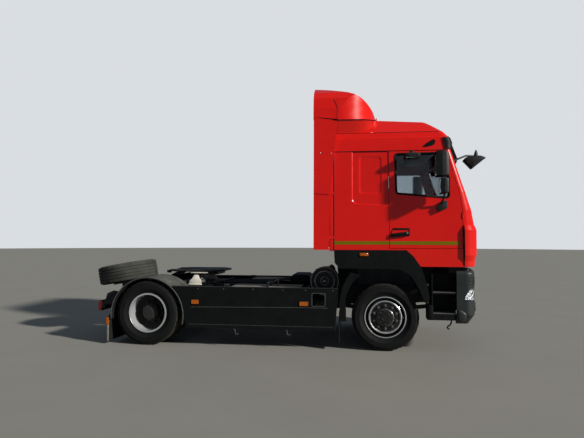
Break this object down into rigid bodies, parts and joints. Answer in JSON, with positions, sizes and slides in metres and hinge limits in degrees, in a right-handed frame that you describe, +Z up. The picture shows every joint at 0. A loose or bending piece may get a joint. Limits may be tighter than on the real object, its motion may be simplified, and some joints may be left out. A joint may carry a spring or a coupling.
{
  "type": "semi truck tractor unit",
  "caption": "Two-axle cab-over tractor unit with a red high-roof sleeper cab, roof spoiler, air deflectors, black side skirts, fifth wheel and a spare wheel on the rear frame",
  "frame": {"origin": "centre of the truck's footprint box on the ground", "axes": "+X forward, +Y to the truck's left, +Z up"},
  "size_m": [6.3737, 3.12, 3.948],
  "materials": {
    "frame_paint": "black chassis paint, dusty",
    "engine_paint": "grey engine paint",
    "axle_iron": "painted cast iron",
    "spring_steel": "black paint on spring steel",
    "bumper_plastic": "dark grey moulded plastic",
    "lamp_glass": "clear lamp lens",
    "black_plastic": "near-black grained plastic",
    "guard_plastic": "black plastic, dusty on top",
    "tank_metal": "plain tank metal",
    "black_metal": "black painted canister",
    "exhaust_metal": "heat-stained steel",
    "primer_white": "off-white primer",
    "rubber": "rubber sheet",
    "amber_lens": "amber lens",
    "red_lens": "dark red lens",
    "tyre": "tyre rubber",
    "rim_silver": "silver paint on steel",
    "rim_black": "black paint on steel, bright rings",
    "cab_red": "glossy red paint",
    "glass": "clear glass",
    "visor_plastic": "dark translucent plastic",
    "mirror_plastic": "black moulded plastic",
    "seat_fabric": "grey woven cloth",
    "trim_plastic": "dark grey interior plastic",
    "grille_silver": "silver painted bars",
    "fifth_iron": "greased cast iron"
  },
  "bodies": {
    "chassis": {"frame_rails": "frame_paint", "crossmembers": "frame_paint", "engine_gearbox": "engine_paint", "propshaft": "frame_paint", "front_axle": "axle_iron", "rear_axle": "axle_iron", "leaf_springs": "spring_steel", "bumper": "bumper_plastic", "front_lamps": "lamp_glass", "cab_steps": "black_plastic", "front_wheel_guards": "black_plastic", "side_skirts": "black_plastic", "fuel_tank": "tank_metal", "battery_box": "black_plastic", "air_tanks": "frame_paint", "air_filter": "black_metal", "silencer": "exhaust_metal", "fifth_wheel_base": "primer_white", "rear_mudguards": "guard_plastic", "mud_flaps": "rubber", "marker_lamps": "amber_lens", "rear_lamps": "red_lens", "spare_tyre": "tyre", "spare_rim": "rim_silver", "cab_mounts": "frame_paint"},
    "cab": {"cab_floor": "frame_paint", "cab_back": "cab_red", "cab_sides": "cab_red", "cab_front": "cab_red", "cab_roof": "cab_red", "windscreen": "glass", "corner_panels": "cab_red", "arch_mouldings": "black_plastic", "sun_visor": "visor_plastic", "roof_spoiler": "cab_red", "side_deflectors": "cab_red", "front_mirror": "mirror_plastic", "seats_and_bunk": "seat_fabric", "dashboard": "trim_plastic"},
    "left_door": {"door_left": "cab_red", "door_glass_left": "glass", "mirrors_left": "mirror_plastic"},
    "right_door": {"door_right": "cab_red", "door_glass_right": "glass", "mirrors_right": "mirror_plastic"},
    "flap": {"front_flap": "cab_red", "grille": "grille_silver"},
    "left_knuckle": {"knuckle_left": "axle_iron"},
    "right_knuckle": {"knuckle_right": "axle_iron"},
    "track_rod": {"tie_rod": "axle_iron"},
    "wheel_front_left": {"tyre_front_left": "tyre", "rim_front_left": "rim_black"},
    "wheel_front_right": {"tyre_front_right": "tyre", "rim_front_right": "rim_black"},
    "wheels_rear_left": {"tyres_rear_left": "tyre", "rims_rear_left": "rim_silver"},
    "wheels_rear_right": {"tyres_rear_right": "tyre", "rims_rear_right": "rim_silver"},
    "fifth_wheel": {"fifth_wheel_plate": "fifth_iron"}
  },
  "joints": [
    {"name": "cab_tilt", "type": "hinge", "parent": "chassis", "child": "cab", "pos_m": [2.923, 0, 0.92], "axis": [0, 1, 0], "range_deg": [0, 60]},
    {"name": "door_left_hinge", "type": "hinge", "parent": "cab", "child": "left_door", "pos_m": [2.791, 1.247, 1.8], "axis": [0, 0, -1], "range_deg": [0, 70]},
    {"name": "door_right_hinge", "type": "hinge", "parent": "cab", "child": "right_door", "pos_m": [2.791, -1.247, 1.8], "axis": [0, 0, 1], "range_deg": [0, 70]},
    {"name": "flap_hinge", "type": "hinge", "parent": "cab", "child": "flap", "pos_m": [3.055, 0, 2.036], "axis": [0, -1, 0], "range_deg": [0, 60]},
    {"name": "steer_left", "type": "hinge", "parent": "chassis", "child": "left_knuckle", "pos_m": [1.703, 0.84, 0.49], "axis": [0, 0, 1], "range_deg": [-35, 35]},
    {"name": "steer_right", "type": "hinge", "parent": "chassis", "child": "right_knuckle", "pos_m": [1.703, -0.84, 0.49], "axis": [0, 0, 1], "range_deg": [-35, 35]},
    {"name": "track_rod_pin", "type": "hinge", "parent": "left_knuckle", "child": "track_rod", "pos_m": [1.423, 0.84, 0.37], "axis": [0, 0, 1], "range_deg": [-35, 35]},
    {"name": "spin_front_left", "type": "hinge", "parent": "left_knuckle", "child": "wheel_front_left", "pos_m": [1.703, 1.035, 0.49], "axis": [0, 1, 0], "continuous": true},
    {"name": "spin_front_right", "type": "hinge", "parent": "right_knuckle", "child": "wheel_front_right", "pos_m": [1.703, -1.035, 0.49], "axis": [0, 1, 0], "continuous": true},
    {"name": "spin_rear_left", "type": "hinge", "parent": "chassis", "child": "wheels_rear_left", "pos_m": [-1.897, 0.92, 0.49], "axis": [0, 1, 0], "continuous": true},
    {"name": "spin_rear_right", "type": "hinge", "parent": "chassis", "child": "wheels_rear_right", "pos_m": [-1.897, -0.92, 0.49], "axis": [0, 1, 0], "continuous": true},
    {"name": "fifth_wheel_tilt", "type": "hinge", "parent": "chassis", "child": "fifth_wheel", "pos_m": [-1.367, 0, 1], "axis": [0, 1, 0], "range_deg": [-12, 12]}
  ],
  "couplings": [
    {"joint": "steer_right", "follows": "steer_left", "ratio": 1},
    {"joint": "track_rod_pin", "follows": "steer_left", "ratio": -1}
  ]
}
